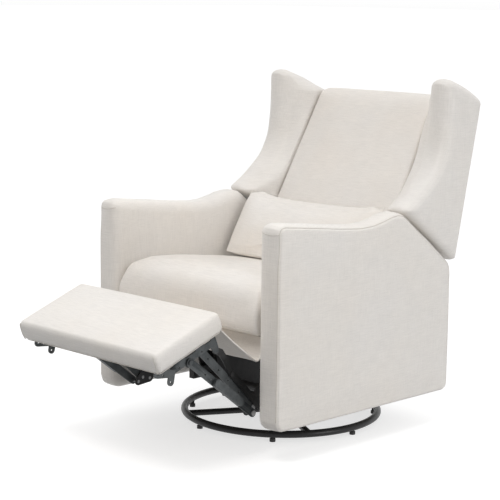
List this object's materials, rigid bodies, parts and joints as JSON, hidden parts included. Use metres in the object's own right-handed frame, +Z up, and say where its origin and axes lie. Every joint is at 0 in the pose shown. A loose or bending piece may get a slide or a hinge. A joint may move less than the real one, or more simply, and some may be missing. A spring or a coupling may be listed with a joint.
{
  "type": "glider nursery chair",
  "caption": "Upholstered swivel glider recliner with wing back, padded arms, seat and lumbar cushions, and a powered footrest on a scissor linkage over a round tube floor ring.",
  "frame": {"origin": "the swivel axis, at floor level, in the centre of the floor ring", "axes": "+Z up, -Y the way the sitter faces, +X towards the chair's left arm"},
  "size_m": [0.77, 1.2652, 1.055],
  "materials": {
    "black_steel": "satin",
    "dark_steel": "satin",
    "grey_steel": "satin",
    "zinc_steel": "satin",
    "upholstery": "matte",
    "seat_fabric": "matte",
    "lining": "matte",
    "timber": "matte",
    "black_plastic": "matte",
    "button_plastic": "satin",
    "glide_plastic": "matte"
  },
  "bodies": {
    "base": {"base_ring": "black_steel", "base_cross": "black_steel", "floor_glides": "glide_plastic", "swivel_lower_plate": "dark_steel", "swivel_spindle": "zinc_steel"},
    "swivel_frame": {"swivel_top_plate": "dark_steel", "glide_tower_left": "dark_steel", "glide_tower_right": "dark_steel", "glide_pins_upper": "zinc_steel"},
    "glide_front": {"front_link_left": "dark_steel", "front_link_right": "dark_steel"},
    "glide_rear": {"rear_link_left": "dark_steel", "rear_link_right": "dark_steel"},
    "carriage": {"base_rail_left": "dark_steel", "base_rail_right": "dark_steel", "cross_tube_front": "dark_steel", "cross_tube_rear": "dark_steel", "glide_pins_lower": "zinc_steel", "riser_left": "dark_steel", "riser_right": "dark_steel", "seat_rail_left": "timber", "seat_rail_right": "timber", "seat_front_rail": "timber", "seat_rear_rail": "timber", "seat_springs": "zinc_steel", "seat_deck": "lining", "seat_cushion": "seat_fabric", "arm_brackets": "dark_steel", "arm_left": "upholstery", "arm_right": "upholstery", "side_plate_left": "dark_steel", "side_plate_right": "dark_steel", "back_pivot_pins": "zinc_steel", "front_skirt": "lining", "control_panel": "black_plastic", "charging_port": "black_plastic", "power_box": "black_plastic", "actuator_housing": "black_plastic"},
    "button_recline": {"button_recline": "button_plastic"},
    "button_upright": {"button_upright": "button_plastic"},
    "back": {"back_board": "timber", "back_bracket_left": "dark_steel", "back_bracket_right": "dark_steel", "back_cushion": "seat_fabric", "wing_left": "upholstery", "wing_right": "upholstery", "back_outer_panel": "upholstery", "back_lower_panel": "upholstery"},
    "lumbar_pillow": {"lumbar_pillow": "seat_fabric"},
    "footrest_lower": {"footrest_lower_links": "dark_steel", "torque_tube": "dark_steel", "footrest_link_pins": "zinc_steel"},
    "footrest_long": {"footrest_long_links": "dark_steel"},
    "footrest_front": {"footrest_front_links": "grey_steel"},
    "footrest_elbow": {"footrest_elbow_links": "dark_steel"},
    "footrest": {"footrest_bracket_left": "grey_steel", "footrest_bracket_right": "grey_steel", "footrest_board": "timber", "footrest_pad": "upholstery"},
    "actuator_rod": {"actuator_rod": "zinc_steel"}
  },
  "joints": [
    {"name": "swivel", "type": "hinge", "parent": "base", "child": "swivel_frame", "pos_m": [0, 0, 0.048], "axis": [0, 0, 1], "continuous": true},
    {"name": "glide_swing", "type": "hinge", "parent": "swivel_frame", "child": "glide_front", "pos_m": [0, -0.11, 0.235], "axis": [1, 0, 0], "range_deg": [-20, 20]},
    {"name": "glide_level", "type": "hinge", "parent": "glide_front", "child": "carriage", "pos_m": [0, -0.11, 0.135], "axis": [1, 0, 0], "range_deg": [-20, 20]},
    {"name": "glide_swing_rear", "type": "hinge", "parent": "swivel_frame", "child": "glide_rear", "pos_m": [0, 0.11, 0.235], "axis": [1, 0, 0], "range_deg": [-20, 20]},
    {"name": "back_recline", "type": "hinge", "parent": "carriage", "child": "back", "pos_m": [0, 0.3, 0.262], "axis": [1, 0, 0], "range_deg": [-28, 0]},
    {"name": "footrest_open", "type": "hinge", "parent": "carriage", "child": "footrest_lower", "pos_m": [0, -0.2367, 0.2905], "axis": [1, 0, 0], "range_deg": [-18, 121], "deforming": ["front_skirt"]},
    {"name": "long_link_turn", "type": "hinge", "parent": "footrest_lower", "child": "footrest_long", "pos_m": [0, -0.368, 0.141], "axis": [1, 0, 0], "range_deg": [-84.5, 13]},
    {"name": "footrest_turn", "type": "hinge", "parent": "footrest_long", "child": "footrest", "pos_m": [0, -0.59, 0.352], "axis": [1, 0, 0], "range_deg": [-5.5, 33]},
    {"name": "front_link_turn", "type": "hinge", "parent": "footrest_lower", "child": "footrest_front", "pos_m": [0, -0.386, 0.13], "axis": [1, 0, 0], "range_deg": [-84, 13]},
    {"name": "elbow_link_turn", "type": "hinge", "parent": "footrest_lower", "child": "footrest_elbow", "pos_m": [0, -0.34, 0.134], "axis": [1, 0, 0], "range_deg": [-87, 13.5]},
    {"name": "actuator_stroke", "type": "slide", "parent": "carriage", "child": "actuator_rod", "axis": [0, -0.989, 0.1476], "range_m": [-0.083, 0.0125]},
    {"name": "recline_button_press", "type": "slide", "parent": "carriage", "child": "button_recline", "axis": [1, 0, 0], "range_m": [0, 0.0015], "stiffness_N_per_m": 400},
    {"name": "upright_button_press", "type": "slide", "parent": "carriage", "child": "button_upright", "axis": [1, 0, 0], "range_m": [0, 0.0015], "stiffness_N_per_m": 400},
    {"name": "pillow_lift_off", "type": "slide", "parent": "back", "child": "lumbar_pillow", "axis": [0, -0.3, 0.9539], "range_m": [0, 0.15]}
  ],
  "couplings": [
    {"joint": "glide_level", "follows": "glide_swing", "ratio": -1},
    {"joint": "glide_swing_rear", "follows": "glide_swing", "ratio": 1},
    {"joint": "long_link_turn", "follows": "footrest_open", "ratio": -0.69174},
    {"joint": "footrest_turn", "follows": "footrest_open", "ratio": 0.26612},
    {"joint": "front_link_turn", "follows": "footrest_open", "ratio": -0.6866},
    {"joint": "elbow_link_turn", "follows": "footrest_open", "ratio": -0.7124},
    {"joint": "actuator_stroke", "follows": "footrest_open", "m_per_rad": -0.038961}
  ]
}
